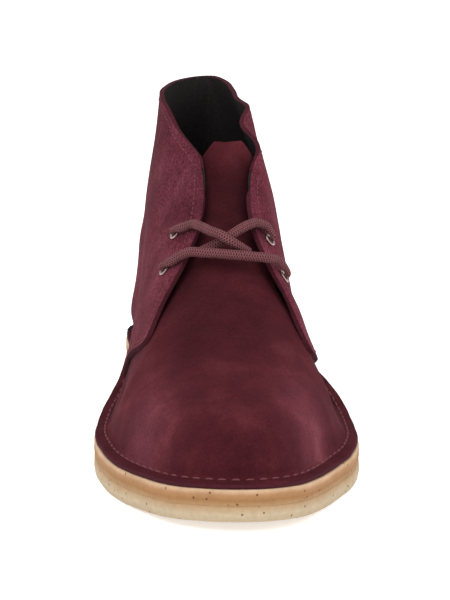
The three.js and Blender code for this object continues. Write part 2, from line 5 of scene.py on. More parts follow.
import bmesh
import bpy
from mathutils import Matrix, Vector


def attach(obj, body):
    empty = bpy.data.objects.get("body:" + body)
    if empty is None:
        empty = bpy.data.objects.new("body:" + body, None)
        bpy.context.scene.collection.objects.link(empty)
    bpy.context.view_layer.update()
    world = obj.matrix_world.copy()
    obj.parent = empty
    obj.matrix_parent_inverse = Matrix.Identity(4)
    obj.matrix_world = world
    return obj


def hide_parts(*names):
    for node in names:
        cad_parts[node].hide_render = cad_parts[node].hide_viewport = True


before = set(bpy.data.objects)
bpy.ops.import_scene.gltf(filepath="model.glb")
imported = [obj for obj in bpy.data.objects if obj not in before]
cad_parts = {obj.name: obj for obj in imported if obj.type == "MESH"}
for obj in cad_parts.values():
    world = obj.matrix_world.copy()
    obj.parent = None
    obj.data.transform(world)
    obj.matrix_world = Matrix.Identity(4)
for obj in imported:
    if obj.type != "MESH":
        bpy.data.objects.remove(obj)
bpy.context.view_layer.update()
MM = 0.001
rng = random.Random(7)

# The part's own sizes in millimetres, and the flap's slant in shares of x
SOLE_LENGTH, BALL_WIDTH, BOOT_HEIGHT = 289, 111, 141
OUTSOLE, MIDSOLE, TOE_THINNING = 7, 6.7, 0.5
HEEL_LIFT, TOE_SPRING, LAYER_GAP = 12, 4.6, 0.3
FLAT_FRONT, ARCH_START, HEEL_BREAST, HEEL_FRONT, HEEL_SLANT = -84, -32, 58, 46, 7
SUEDE, FLANGE_WIDTH, FLANGE_THICKNESS = 2, 6.6, 2.2
FLAP_FORWARD, FLAP_DROP = 0.08, 0.04
TONGUE_HALF = 21

OUTLINE = [  # along, lateral, medial, spine
    (0, 0, 0, 0.05), (0.02, 0.172, 0.15, 0.048), (0.045, 0.255, 0.222, 0.044),
    (0.107, 0.35, 0.318, 0.034), (0.173, 0.421, 0.4, 0.021), (0.225, 0.457, 0.462, 0.012),
    (0.3, 0.483, 0.508, 0.003), (0.35, 0.487, 0.514, -0.001), (0.4, 0.481, 0.511, -0.001),
    (0.45, 0.467, 0.5, -0.001), (0.5, 0.44, 0.479, -0.001), (0.55, 0.411, 0.447, -0.001),
    (0.61, 0.383, 0.398, -0.001), (0.727, 0.352, 0.338, -0.001), (0.848, 0.352, 0.34, -0.001),
    (0.95, 0.237, 0.235, -0.001), (1, 0, 0, -0.001),
]
RIDGE = [  # along, vamp, quarter, power, soften
    (0, 0, 0, 2.6, 2.1), (0.01, 0.1, 0.1, 2.6, 2.1), (0.03, 0.167, 0.167, 2.6, 2.1),
    (0.07, 0.213, 0.213, 2.6, 2.1), (0.13, 0.25, 0.25, 2.5, 2.1), (0.2, 0.295, 0.295, 2.3, 2),
    (0.28, 0.36, 0.36, 2.1, 1.85), (0.334, 0.415, 0.427, 2, 1.8), (0.382, 0.462, 0.496, 1.95, 1.7),
    (0.434, 0.505, 0.55, 1.95, 1.7), (0.487, 0.55, 0.597, 2, 1.7), (0.542, 0.61, 0.664, 2.1, 1.7),
    (0.58, 0.67, 0.725, 2.2, 1.75), (0.62, 0.76, 0.83, 2.2, 1.8), (0.66, 0.88, 1.03, 2.3, 1.9),
    (0.7, 1, 1.35, 2.4, 2), (0.82, 1.3, 2.6, 2.4, 2), (1, 1.6, 4, 2.4, 2),
]
WALL = [  # along, lateral, medial, pinch
    (0, 0, 0, 0), (0.2, 0, 0.02, 0), (0.28, 0, 0.03, 0.02),
    (0.334, 0, 0.025, 0.075), (0.382, 0, 0.055, 0.09), (0.434, 0.01, 0.14, 0.085),
    (0.487, 0.01, 0.185, 0.07), (0.542, 0.01, 0.2, 0.04), (0.6, 0, 0.18, 0.01),
    (0.66, 0, 0.11, 0), (0.75, 0, 0.03, 0), (1, 0, 0, 0),
]
SHAFT = [  # height, lateral, medial, lean, swing
    (0.15, 1, 1, 0, 0), (0.32, 0.99, 0.95, -0.006, 0.005), (0.48, 0.94, 0.9, 0.004, 0.015),
    (0.62, 0.87, 0.79, 0.02, 0.03), (0.78, 0.79, 0.62, 0.038, 0.04), (0.91, 0.72, 0.42, 0.048, 0.045),
    (1, 0.69, 0.3, 0.05, 0.045), (1.25, 0.68, 0.28, 0.052, 0.045),
]
SHAFT_FRONT = {"lateral": 0.02, "medial": -0.04}
FOLDS = [  # side, y, width, depth, from
    ("medial", 0.215, 0.028, 4, 0.7),
    ("medial", 0.155, 0.028, -4.4, 0.7),
    ("medial", 0.1, 0.03, 3.8, 0.7),
    ("lateral", 0.11, 0.085, -7, 0.55),
]
SIGN = {"lateral": -1, "medial": 1}


def clamp(v, lo, hi):
    return max(lo, min(hi, v))


def smoothstep(v, lo, hi):
    t = clamp((v - lo) / (hi - lo), 0, 1)
    return t * t * (3 - 2 * t)


def curve_through(keys, values):
    n = len(keys)
    slopes = []
    for i in range(n):
        before, after = max(i - 1, 0), min(i + 1, n - 1)
        slopes.append((values[after] - values[before]) / (keys[after] - keys[before]))

    def read(at):
        key = clamp(at, keys[0], keys[-1])
        i = 0
        while i < n - 2 and key > keys[i + 1]:
            i += 1
        span = keys[i + 1] - keys[i]
        t = (key - keys[i]) / span
        ease = t * t * (3 - 2 * t)
        bend = slopes[i] * t * (1 - t) ** 2 - slopes[i + 1] * t * t * (1 - t)
        return values[i] + (values[i + 1] - values[i]) * ease + span * bend

    return read


def by_angle(rows, column):
    return curve_through([math.acos(1 - 2 * r[0]) for r in rows], [r[column] for r in rows])


SIDE = {"lateral": by_angle(OUTLINE, 1), "medial": by_angle(OUTLINE, 2)}
SPINE = by_angle(OUTLINE, 3)
RIDGE_OF = {"vamp": by_angle(RIDGE, 1), "quarter": by_angle(RIDGE, 2)}
POWER, SOFTEN = by_angle(RIDGE, 3), by_angle(RIDGE, 4)
TUCK = {"lateral": by_angle(WALL, 1), "medial": by_angle(WALL, 2)}
PINCH = by_angle(WALL, 3)
LATERAL, MEDIAL, LEAN, SWING = (
    curve_through([r[0] for r in SHAFT], [r[k] for r in SHAFT]) for k in (1, 2, 3, 4)
)
SHAFT_WIDTH = {"lateral": LATERAL, "medial": MEDIAL}


def angle_at(y, inset):
    return math.acos(clamp(-y / (SOLE_LENGTH / 2 - inset), -1, 1))


def outline_half(side, angle, inset):
    return SIDE[side](angle) * BALL_WIDTH - inset * math.sin(angle)


def spine_x(y):
    return SPINE(angle_at(y, 0)) * BALL_WIDTH


def spring_share(y):
    return (max(0, FLAT_FRONT - y) / (SOLE_LENGTH / 2 + FLAT_FRONT)) ** 2


def tread_line(y):
    return TOE_SPRING * spring_share(y) + HEEL_LIFT * smoothstep(y, ARCH_START, HEEL_BREAST)


def outsole_top(y):
    return tread_line(y) + OUTSOLE - TOE_THINNING * spring_share(y)


def foot_line(y):
    return outsole_top(y) + MIDSOLE + 2 * LAYER_GAP


def lean_weight(y):
    return smoothstep(y, 0.02 * SOLE_LENGTH, 0.3 * SOLE_LENGTH)


def lean_at(z):
    return LEAN(z / BOOT_HEIGHT) * SOLE_LENGTH


def upper_middle(y, z):
    return spine_x(y) + SWING(z / BOOT_HEIGHT) * BALL_WIDTH * (1 - lean_weight(y))


def fold_depth(side, y, z, arch):
    depth = 0
    for name, place, width, deep, start in FOLDS:
        if name == side:
            across = (y / SOLE_LENGTH - place) / width
            near = math.exp(-across * across) * smoothstep(z / BOOT_HEIGHT, start, 1)
            depth += deep * near * min(1, 2 * arch)
    return depth


def upper_half(skin, side, y, z, offset):
    inset = FLANGE_WIDTH - offset
    angle = angle_at(y + lean_at(z) * lean_weight(y), inset)
    rise = RIDGE_OF[skin](angle) * BOOT_HEIGHT + offset
    share = clamp((z - foot_line(y)) / max(rise, 1e-6), 0, 1)
    arch = (1 - share ** POWER(angle)) ** (1 / SOFTEN(angle))
    start = SHAFT_FRONT[side]
    rear = smoothstep(y / SOLE_LENGTH, start, start + 0.28)
    narrow = 1 + (SHAFT_WIDTH[side](z / BOOT_HEIGHT) - 1) * rear
    tuck = 1 - TUCK[side](angle) * smoothstep(share, 0, 0.3)
    waist = 1 - PINCH(angle) * smoothstep(share, 0, 0.3) * (1 - smoothstep(share, 0.55, 0.85))
    return outline_half(side, angle, inset) * arch * narrow * tuck * waist + fold_depth(side, y, z, arch)


def skin_point(skin, side, y, z, offset):
    return Vector((upper_middle(y, z) + SIGN[side] * upper_half(skin, side, y, z, offset), y, z))


def skin_out(skin, side, y, z, offset):
    """The way out of the skin at a place seen from the side."""
    e = 0.7
    along_y = skin_point(skin, side, y + e, z, offset) - skin_point(skin, side, y - e, z, offset)
    along_z = skin_point(skin, side, y, z + e, offset) - skin_point(skin, side, y, z - e, offset)
    out = along_y.cross(along_z).normalized()
    return -out if out.x * SIGN[side] < 0 else out


def ridge_z(skin, y, offset):
    return foot_line(y) + RIDGE_OF[skin](angle_at(y, FLANGE_WIDTH - offset)) * BOOT_HEIGHT + offset


# Camera, as the photograph was taken
DISTANCE, ELEVATION, YAW, FOCAL, AIM = 1600, 12.38, 1.77, 3735, (2.25, -4.5, 64.2)


def make_camera():
    el, yaw = math.radians(ELEVATION), math.radians(YAW)
    back = Vector((-math.sin(yaw) * math.cos(el), -math.cos(yaw) * math.cos(el), math.sin(el)))
    data = bpy.data.cameras.new("camera")
    data.sensor_width = 36
    data.lens = FOCAL * 36 / 600
    data.clip_start, data.clip_end = 0.05, 20
    camera = bpy.data.objects.new("camera", data)
    bpy.context.collection.objects.link(camera)
    camera.rotation_mode = "QUATERNION"
    camera.location = (Vector(AIM) + back * DISTANCE) * MM
    camera.rotation_quaternion = (-back).to_track_quat("-Z", "Y")
    bpy.context.scene.camera = camera


make_camera()


# Materials
def node_material(name):
    material = bpy.data.materials.new(name)
    material.use_nodes = True
    return material, material.node_tree, material.node_tree.nodes["Principled BSDF"]


def rgb(code):
    def linear(c):
        c /= 255
        return c / 12.92 if c <= 0.04045 else ((c + 0.055) / 1.055) ** 2.4

    return (linear(code >> 16 & 255), linear(code >> 8 & 255), linear(code & 255), 1)


def noise(tree, scale, detail, rough, stretch=None):
    coords = tree.nodes.new("ShaderNodeTexCoord")
    texture = tree.nodes.new("ShaderNodeTexNoise")
    texture.inputs["Scale"].default_value = scale
    texture.inputs["Detail"].default_value = detail
    texture.inputs["Roughness"].default_value = rough
    source = coords.outputs["Object"]
    if stretch:
        mapping = tree.nodes.new("ShaderNodeMapping")
        mapping.inputs["Scale"].default_value = stretch
        tree.links.new(source, mapping.inputs["Vector"])
        source = mapping.outputs["Vector"]
    tree.links.new(source, texture.inputs["Vector"])
    return texture.outputs["Fac"]


def ramp(tree, source, stops):
    node = tree.nodes.new("ShaderNodeValToRGB")
    elements = node.color_ramp.elements
    while len(elements) < len(stops):
        elements.new(0.5)
    for element, (place, colour) in zip(elements, stops):
        element.position = place
        element.color = colour
    tree.links.new(source, node.inputs["Fac"])
    return node.outputs["Color"]


def feed(tree, socket, value):
    """Sets a socket to a constant, or links another node's output to it."""
    if hasattr(value, "is_output"):
        tree.links.new(value, socket)
    else:
        socket.default_value = value


def multiply(tree, factor, a, b):
    node = tree.nodes.new("ShaderNodeMix")
    node.data_type = "RGBA"
    node.blend_type = "MULTIPLY"
    for name, value in (("Factor", factor), ("A", a), ("B", b)):
        feed(tree, [s for s in node.inputs if s.name == name and s.enabled][0], value)
    return [s for s in node.outputs if s.enabled][0]


def calculate(tree, operation, *values):
    node = tree.nodes.new("ShaderNodeMath")
    node.operation = operation
    for socket, value in zip(node.inputs, values):
        feed(tree, socket, value)
    return node.outputs[0]


def cover(tree, bsdf, tone, roughness, specular, layers):
    """Gives a surface its colour, its shine and its bumps, as (source, strength, mm) layers."""
    tree.links.new(tone, bsdf.inputs["Base Color"])
    bsdf.inputs["Roughness"].default_value = roughness
    bsdf.inputs["Specular IOR Level"].default_value = specular
    previous = None
    for source, strength, distance in layers:
        node = tree.nodes.new("ShaderNodeBump")
        node.inputs["Strength"].default_value = strength
        node.inputs["Distance"].default_value = distance * MM
        tree.links.new(source, node.inputs["Height"])
        if previous:
            tree.links.new(previous, node.inputs["Normal"])
        previous = node.outputs["Normal"]
    tree.links.new(previous, bsdf.inputs["Normal"])


def suede(name, deep, mid, pale, sheen, brush, grain):
    """Napped suede: broad brushed patches, a fine nap and darker or paler areas painted on the mesh,
    which carry the suede's own tone and painted highlights and shade.
    """
    material, tree, bsdf = node_material(name)
    patches = noise(tree, 38, 3, 0.6)
    brushed = noise(tree, 130, 5, 0.7, (1, 1, 0.6))
    nap = noise(tree, 950, 3, 0.8)
    base = ramp(tree, patches, [(0.32, rgb(deep)), (0.52, rgb(mid)), (0.72, rgb(pale))])
    spread = ramp(tree, brushed, [(0.3, (0.72, 0.72, 0.72, 1)), (0.7, (1.25, 1.25, 1.25, 1))])
    tone = multiply(tree, brush, base, spread)
    grains = ramp(tree, nap, [(0.36, (0.45, 0.43, 0.43, 1)), (0.64, (1.65, 1.65, 1.65, 1))])
    tone = multiply(tree, grain, tone, grains)
    # The painted tone on the mesh, which carries painted highlights and painted shade as well as the
    # suede's own tone.
    paint = tree.nodes.new("ShaderNodeAttribute")
    paint.attribute_name = "tone"
    tone = multiply(tree, 1, tone, paint.outputs["Color"])
    bsdf.inputs["Sheen Weight"].default_value = sheen
    bsdf.inputs["Sheen Roughness"].default_value = 0.45
    bsdf.inputs["Sheen Tint"].default_value = rgb(0x9A4A58)
    cover(tree, bsdf, tone, 0.92, 0.05, [(brushed, 0.25, 0.5), (nap, 0.5, 0.25)])
    return material


def plain(name, code, roughness, grain=900, strength=0.3, metallic=0, spread=0.25):
    material, tree, bsdf = node_material(name)
    fine = noise(tree, grain, 4, 0.6)
    low, high = 1 - spread, 1 + spread
    shade = ramp(tree, fine, [(0.3, (low, low, low, 1)), (0.7, (high, high, high, 1))])
    tone = multiply(tree, 1, rgb(code), shade)
    bsdf.inputs["Metallic"].default_value = metallic
    cover(tree, bsdf, tone, roughness, 0.5 if metallic else 0.1, [(fine, strength, 0.2)])
    return material


def crepe(name, stops):
    """Crepe rubber: colour bands up its side, a pebbled face and small dark specks. On the midsole the
    palest band at the top is a painted highlight on its rounded top edge.
    """
    material, tree, bsdf = node_material(name)
    up = tree.nodes.new("ShaderNodeAttribute")
    up.attribute_name = "level"
    drift = noise(tree, 45, 4, 0.6)
    shifted = calculate(tree, "MULTIPLY_ADD", drift, 0.35, up.outputs["Fac"])
    level = calculate(tree, "SUBTRACT", shifted, 0.175)
    base = ramp(tree, level, [(place, rgb(code)) for place, code in stops])
    pebble = noise(tree, 420, 5, 0.65)
    shade = ramp(tree, pebble, [(0.3, (0.86, 0.85, 0.83, 1)), (0.7, (1.08, 1.08, 1.08, 1))])
    tone = multiply(tree, 0.8, base, shade)
    specks = tree.nodes.new("ShaderNodeTexVoronoi")
    specks.inputs["Scale"].default_value = 260
    specks.inputs["Randomness"].default_value = 1
    coords = tree.nodes.new("ShaderNodeTexCoord")
    tree.links.new(coords.outputs["Object"], specks.inputs["Vector"])
    rust = (0.3, 0.18, 0.1, 1)
    dots = ramp(tree, specks.outputs["Distance"], [(0.1, rust), (0.16, (1, 1, 1, 1))])
    tone = multiply(tree, 0.85, tone, dots)
    cover(tree, bsdf, tone, 0.75, 0.25, [(pebble, 0.35, 0.5), (drift, 0.3, 1.2)])
    return material


QUARTER = suede("suede_quarter", 0x4A1D28, 0x592631, 0x6A3340, 0.13, 0.5, 0.9)
VAMP = suede("suede_vamp", 0x39141A, 0x44191F, 0x532329, 0.1, 0.35, 0.3)
EDGE = plain("suede_edge", 0x421A22, 0.95)
LINING = plain("lining", 0x2E292A, 0.9, 700, 0.2)
THREAD = plain("thread", 0x6E3F43, 0.8, 2500, 0.4)
CREPE_LIGHT = crepe("crepe_light", [(0, 0xAE9B80), (0.45, 0xB9A78C), (0.95, 0xAC8C68)])
# The last stop, pale at the top of the midsole, is a painted highlight along its rounded top edge.
CREPE_TAN_AND_PAINTED_HIGHLIGHT = crepe("crepe_tan_and_painted_highlight", [(0, 0xA6855F), (0.35, 0x976D44), (0.68, 0xA67C56), (0.97, 0xC9A98B)])
METAL = plain("eyelet_metal", 0xA8928F, 0.32, 300, 0.1, 1.0, 0.1)
INSOLE = plain("insole_leather", 0x242020, 0.85)


def lace_material():
    """Woven cotton: slanted threads both ways over the tape's width."""
    material, tree, bsdf = node_material("lace_weave")
    uv = tree.nodes.new("ShaderNodeUVMap")
    uv.uv_map = "weave"
    fibres = noise(tree, 2600, 3, 0.7)
    waves = []
    for turn in (0.62, -0.62):
        mapping = tree.nodes.new("ShaderNodeMapping")
        mapping.inputs["Rotation"].default_value = (0, 0, turn)
        wave = tree.nodes.new("ShaderNodeTexWave")
        wave.inputs["Scale"].default_value = 0.36
        wave.inputs["Distortion"].default_value = 0.6
        tree.links.new(uv.outputs["UV"], mapping.inputs["Vector"])
        tree.links.new(mapping.outputs["Vector"], wave.inputs["Vector"])
        waves.append(wave.outputs["Fac"])
    both = calculate(tree, "MAXIMUM", *waves)
    stops = [(0.3, rgb(0x3A1B21)), (0.7, rgb(0x5F3138)), (1, rgb(0x7E5054))]
    base = ramp(tree, both, stops)
    shade = ramp(tree, fibres, [(0.3, (0.7, 0.68, 0.66, 1)), (0.7, (1.25, 1.2, 1.15, 1))])
    tone = multiply(tree, 0.8, base, shade)
    cover(tree, bsdf, tone, 0.9, 0.2, [(both, 0.8, 0.35), (fibres, 0.4, 0.15)])
    return material


LACE = lace_material()


# Mesh helpers; points are in millimetres
def make_object(name, points, faces, materials):
    mesh = bpy.data.meshes.new(name)
    mesh.from_pydata([p * MM for p in points], [], faces)
    for material in materials:
        mesh.materials.append(material)
    mesh.polygons.foreach_set("use_smooth", [True] * len(mesh.polygons))
    mesh.update()
    obj = bpy.data.objects.new(name, mesh)
    bpy.context.collection.objects.link(obj)
    return obj


def weld_and_face_out(obj, distance):
    bm = bmesh.new()
    bm.from_mesh(obj.data)
    bmesh.ops.remove_doubles(bm, verts=bm.verts, dist=distance * MM)
    bmesh.ops.recalc_face_normals(bm, faces=bm.faces)
    bm.to_mesh(obj.data)
    bm.free()


def paint_tone(obj, tone_at):
    """Paints how pale or dark the suede is, its own tone together with painted highlights and shade, by
    the place on the boot in millimetres.
    """
    layer = obj.data.color_attributes.new("tone", "FLOAT_COLOR", "POINT")
    for i, vertex in enumerate(obj.data.vertices):
        layer.data[i].color = (*tone_at(vertex.co / MM), 1)


def paint_level(obj, levels):
    """Notes how far up its layer of crepe each point lies."""
    layer = obj.data.attributes.new("level", "FLOAT", "POINT")
    for i, level in enumerate(levels):
        layer.data[i].value = level


def grid_faces(rows, columns, wrap=False, start=0):
    """Four-sided faces over rows of points, the first of which is number start."""
    faces = []
    for r in range(rows - 1):
        near, far = start + r * columns, start + (r + 1) * columns
        for c in range(columns if wrap else columns - 1):
            d = (c + 1) % columns
            faces.append((near + c, near + d, far + d, far + c))
    return faces


def tube_faces(rows, columns, start=0):
    """A closed tube over rows of points, with a flat face at each end."""
    first, last = start, start + (rows - 1) * columns
    faces = grid_faces(rows, columns, wrap=True, start=start)
    faces.append(tuple(range(first, first + columns))[::-1])
    faces.append(tuple(range(last, last + columns)))
    return faces


def lump(x, y, z, scale, seed):
    """Slow, smooth unevenness between -1 and 1."""
    a = math.sin(x * scale + seed) * math.cos(y * scale * 1.3 + seed * 2)
    b = math.sin(z * scale * 1.1 + seed * 3 + y * scale * 0.7)
    return 0.6 * a + 0.4 * b


# The quarters' edge seen from the side
SEAM = [(0.046, 0), (0.036, 0.17), (-0.026, 0.252), (-0.095, 0.318), (-0.148, 0.362), (-0.168, 0.384)]
FRONT = [(-0.168, 0.404), (-0.134, 0.48), (-0.067, 0.61), (-0.005, 0.71), (0.046, 0.79), (0.069, 0.825)]
TOP = [(0.082, 0.845), (0.129, 0.9), (0.191, 0.965), (0.253, 0.99), (0.345, 0.995), (0.428, 1)]


# Curves
CURVE_STEPS = 24


def catmull_points(points):
    """A centripetal curve through points, finely sampled."""
    pts = [Vector(p) for p in points]
    ends = [pts[0] * 2 - pts[1]] + pts + [pts[-1] * 2 - pts[-2]]
    out = []
    for i in range(1, len(ends) - 2):
        p0, p1, p2, p3 = ends[i - 1 : i + 3]
        knots = [0.0]
        for a, b in ((p0, p1), (p1, p2), (p2, p3)):
            knots.append(knots[-1] + max((b - a).length, 1e-6) ** 0.5)
        t0, t1, t2, t3 = knots
        for k in range(CURVE_STEPS):
            t = t1 + (t2 - t1) * k / CURVE_STEPS
            a1 = p0 * ((t1 - t) / (t1 - t0)) + p1 * ((t - t0) / (t1 - t0))
            a2 = p1 * ((t2 - t) / (t2 - t1)) + p2 * ((t - t1) / (t2 - t1))
            a3 = p2 * ((t3 - t) / (t3 - t2)) + p3 * ((t - t2) / (t3 - t2))
            b1 = a1 * ((t2 - t) / (t2 - t0)) + a2 * ((t - t0) / (t2 - t0))
            b2 = a2 * ((t3 - t) / (t3 - t1)) + a3 * ((t - t1) / (t3 - t1))
            out.append(b1 * ((t2 - t) / (t2 - t1)) + b2 * ((t - t1) / (t2 - t1)))
    out.append(pts[-1])
    return out


def run_lengths(points):
    """How far along a line each of its points lies."""
    lengths = [0.0]
    for a, b in zip(points, points[1:]):
        lengths.append(lengths[-1] + (b - a).length)
    return lengths


def resample(points, count):
    """The same line with count evenly spaced points."""
    lengths = run_lengths(points)
    out, i = [], 0
    for k in range(count):
        wanted = lengths[-1] * k / (count - 1)
        while i < len(points) - 2 and lengths[i + 1] < wanted:
            i += 1
        span = max(lengths[i + 1] - lengths[i], 1e-9)
        out.append(points[i].lerp(points[i + 1], clamp((wanted - lengths[i]) / span, 0, 1)))
    return out


def side_curve(rows, shift=0, count=60):
    """An edge of the quarters, seen from the side, as (y, z) in millimetres."""
    places = [(r[0] * SOLE_LENGTH + shift, r[1] * BOOT_HEIGHT, 0) for r in rows]
    return [(p.x, p.y) for p in resample(catmull_points(places), count)]


# Eyelets and lace
EYELETS = {  # side, y, z
    "lower_lateral": ("lateral", -0.048, 0.564),
    "upper_lateral": ("lateral", 0.009, 0.652),
    "lower_medial": ("medial", -0.071, 0.55),
    "upper_medial": ("medial", -0.021, 0.642),
}
LACE_BAR = [  # across, down, rise
    (0.080, 1.251, 2.065), (0.148, 1.318, 2.935), (0.234, 1.442, 3.870), (0.335, 1.595, 4.484),
    (0.463, 1.679, 4.799), (0.584, 1.703, 4.845), (0.692, 1.665, 4.639), (0.811, 1.522, 3.997),
    (0.941, 1.163, 2.285),
]
LATERAL_ARM = [  # across, down, rise
    (0.090, 0.271, 1.794), (0.205, 0.425, 2.844), (0.300, 0.756, 3.951), (0.376, 1.104, 4.957),
    (0.464, 1.344, 5.513), (0.535, 1.427, 5.290), (0.615, 1.331, 4.303), (0.698, 1.132, 2.961),
]
MEDIAL_ARM = [  # across, down, rise
    (0.985, -0.065, 1.154), (0.851, 0.151, 2.378), (0.744, 0.444, 3.254), (0.641, 0.715, 3.724),
    (0.542, 0.969, 3.889), (0.458, 1.070, 3.566), (0.374, 1.104, 3.108), (0.298, 1.104, 2.567),
]


PART_LACE = 4  # the width that the rises are stated in
WOVEN_WIDTH, WOVEN_THICK = 4.2, 3.3
PINCHED_WIDTH, PINCHED_THICK = 2.6, 2.5  # inside an eyelet
THROUGH_EYELET = (-2.9, -1, 2.2)  # heights along its axis


class Seat:
    """Where an eyelet sits on the quarter's outer face, and the way out."""

    def __init__(self, side, y, z):
        self.side = side
        self.y, self.z = y * SOLE_LENGTH, z * BOOT_HEIGHT
        self.place = skin_point("quarter", side, self.y, self.z, SUEDE)
        self.out = skin_out("quarter", side, self.y, self.z, SUEDE)

    def along(self, height):
        return self.place + self.out * height


SEATS = {name: Seat(*row) for name, row in EYELETS.items()}


def lace_point(across, down, rise):
    """A point of the lace, set out from the four eyelets, with its rise in lace widths."""
    upper = SEATS["upper_lateral"].place.lerp(SEATS["upper_medial"].place, across)
    lower = SEATS["lower_lateral"].place.lerp(SEATS["lower_medial"].place, across)
    return upper.lerp(lower, down) + Vector((0, 0, PART_LACE * rise))


def lace_route(first, run, last=None):
    route = [SEATS[first].along(h) for h in THROUGH_EYELET] + [lace_point(*row) for row in run]
    if last:
        route += [SEATS[last].along(h) for h in THROUGH_EYELET[::-1]]
    return route


def lace_piece(name, route, seats, steps):
    """A flat woven lace with a rounded section, narrowed where it goes through an eyelet."""
    line = resample(catmull_points(route), steps)
    sides = 20
    points, coords, run = [], [], 0.0
    for i, at in enumerate(line):
        if i:
            run += (at - line[i - 1]).length
        tangent = (line[min(i + 1, steps - 1)] - line[max(i - 1, 0)]).normalized()
        nearest = min((seat.place - at).length for seat in seats)
        full = smoothstep(nearest, 2.2, 7)
        width = PINCHED_WIDTH + (WOVEN_WIDTH - PINCHED_WIDTH) * full
        thick = PINCHED_THICK + (WOVEN_THICK - PINCHED_THICK) * full
        flat = Vector((0, -0.02, 0.02))
        for seat in seats:
            flat += seat.out / max((seat.place - at).length_squared, 1e-6)
        across = tangent.cross(flat).normalized()
        up = across.cross(tangent).normalized()
        for k in range(sides):
            turn = 2 * math.pi * k / sides
            c, s = math.cos(turn), math.sin(turn)
            fine = 1 + 0.03 * math.sin(run * 7.5 + k * 2.1)
            wide = abs(c) ** 0.8 * math.copysign(1, c) * width / 2
            high = abs(s) ** 0.8 * math.copysign(1, s) * thick / 2
            points.append(at + across * wide * fine + up * high * fine)
            coords.append((run, turn / math.pi * (width + thick) / 2))
    obj = make_object(name, points, tube_faces(steps, sides), [LACE])
    layer = obj.data.uv_layers.new(name="weave")
    for poly in obj.data.polygons:
        ks = [obj.data.loops[i].vertex_index for i in poly.loop_indices]
        wraps = any(k % sides == sides - 1 for k in ks) and any(k % sides == 0 for k in ks)
        for i, k in zip(poly.loop_indices, ks):
            u, v = coords[k]
            if wraps and k % sides == 0:
                v = WOVEN_WIDTH + WOVEN_THICK
            layer.data[i].uv = (u, v)
    return obj, line


for cord_name, first, run in (
    ("lace_end_lateral", "upper_lateral", LATERAL_ARM),
    ("lace_end_medial", "upper_medial", MEDIAL_ARM),
):
    arm, arm_line = lace_piece(cord_name + "_woven", lace_route(first, run), [SEATS[first]], 110)
    arm_path = [p * MM for p in resample(arm_line, 28)]
    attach(arm, "root")
    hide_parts(cord_name)

bar, _ = lace_piece(
    "lace_bar_woven", lace_route("lower_lateral", LACE_BAR, "lower_medial"),
    [SEATS["lower_lateral"], SEATS["lower_medial"]], 170,
)
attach(bar, "root")
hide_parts("lace")


def eyelet_piece(name, seat):
    """A turned metal ring with a rolled rim, a barrel and a clinched rim inside."""
    section = [
        (1.75, -2.75), (2.3, -2.85), (2.8, -2.75), (2.9, -2.5), (2.7, -2.4), (2.25, -2.35),
        (2.25, 0.05), (2.7, 0.08), (2.9, 0.3), (2.88, 0.6), (2.6, 0.88), (2.2, 0.92),
        (1.9, 0.75), (1.75, 0.4),
    ]
    sides = 40
    turn = Vector((0, 0, 1)).rotation_difference(seat.out)
    points = []
    for radius, height in section:
        for k in range(sides):
            a = 2 * math.pi * k / sides
            spoke = Vector((radius * math.cos(a), radius * math.sin(a), height))
            points.append(seat.place + turn @ spoke)
    faces = grid_faces(len(section), sides, wrap=True)
    last = (len(section) - 1) * sides
    for k in range(sides):
        d = (k + 1) % sides
        faces.append((last + k, last + d, d, k))
    obj = make_object("ring_" + name, points, faces, [METAL])
    weld_and_face_out(obj, 0.001)
    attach(obj, "root")
    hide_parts("eyelet_" + name)


for seat_name, seat in SEATS.items():
    eyelet_piece(seat_name, seat)


# Suede skins
def pushed(skin, side, y, z, offset, push):
    """A point of a skin moved out by push from the foot outline, as where the suede turns out."""
    if push < 1e-6:
        return skin_point(skin, side, y, z, offset)
    a = angle_at(y + lean_at(z) * lean_weight(y), FLANGE_WIDTH - offset)
    moved = y - push * math.cos(a)
    return skin_point(skin, side, moved, z + foot_line(moved) - foot_line(y), offset + push)


def turn_out(above, radius):
    """How far the wall has turned out at a height above the flange's top."""
    t = clamp(above / radius, 0, 1)
    return radius * (1 - math.sqrt(max(0.0, 1 - (1 - t) ** 2)))


CREASES = [  # y, bend, depth, width
    (-78, 0.006, 0.5, 3.2), (-66, -0.004, 0.35, 2.6), (-90, 0.009, 0.25, 3.0),
]


def vamp_wear(side, y, z):
    """Soft dents and rumples of the vamp, in millimetres."""
    x = SIGN[side] * upper_half("vamp", side, y, z, 0.2)
    high = smoothstep(z - foot_line(y), 6, 20)
    rumple = 0.32 * lump(x, y, z, 0.13, 1.7) + 0.16 * lump(x, y, z, 0.31, 4.2)
    crease = 0.0
    for place, bend, deep, width in CREASES:
        across = (y - place - bend * x * x) / width
        crease -= deep * math.exp(-across * across) * (0.5 + 0.5 * math.sin(x * 0.11 + place))
    return high * (rumple + 0.5 * crease)


VAMP_OFFSET = 0.2
FLANGE_TOP = FLANGE_THICKNESS + 0.85
QUARTER_FOOT = FLANGE_THICKNESS + 0.35
SKIRT = 11  # how far the vamp runs under the quarters
VAMP_ROWS, TONGUE_ROWS, SKIRT_ROWS, HALF_COLUMNS = 100, 64, 44, 56
TIP, ROOT = (30, 127), (-54, 62)  # of the tongue, as (y, z)
TIP_LENGTH, TIP_POWER, TIP_SWEEP = 8, 2.5, 7
TONGUE_BLEND = 14


def section_height(y, angle):
    """Height at an angle up one cross-section of the vamp: 0 at the foot line, pi/2 on the ridge."""
    a = angle_at(y, FLANGE_WIDTH - VAMP_OFFSET)
    rise = RIDGE_OF["vamp"](a) * BOOT_HEIGHT + VAMP_OFFSET
    return foot_line(y) + rise * (math.sin(angle) ** 2) ** (1 / POWER(a))


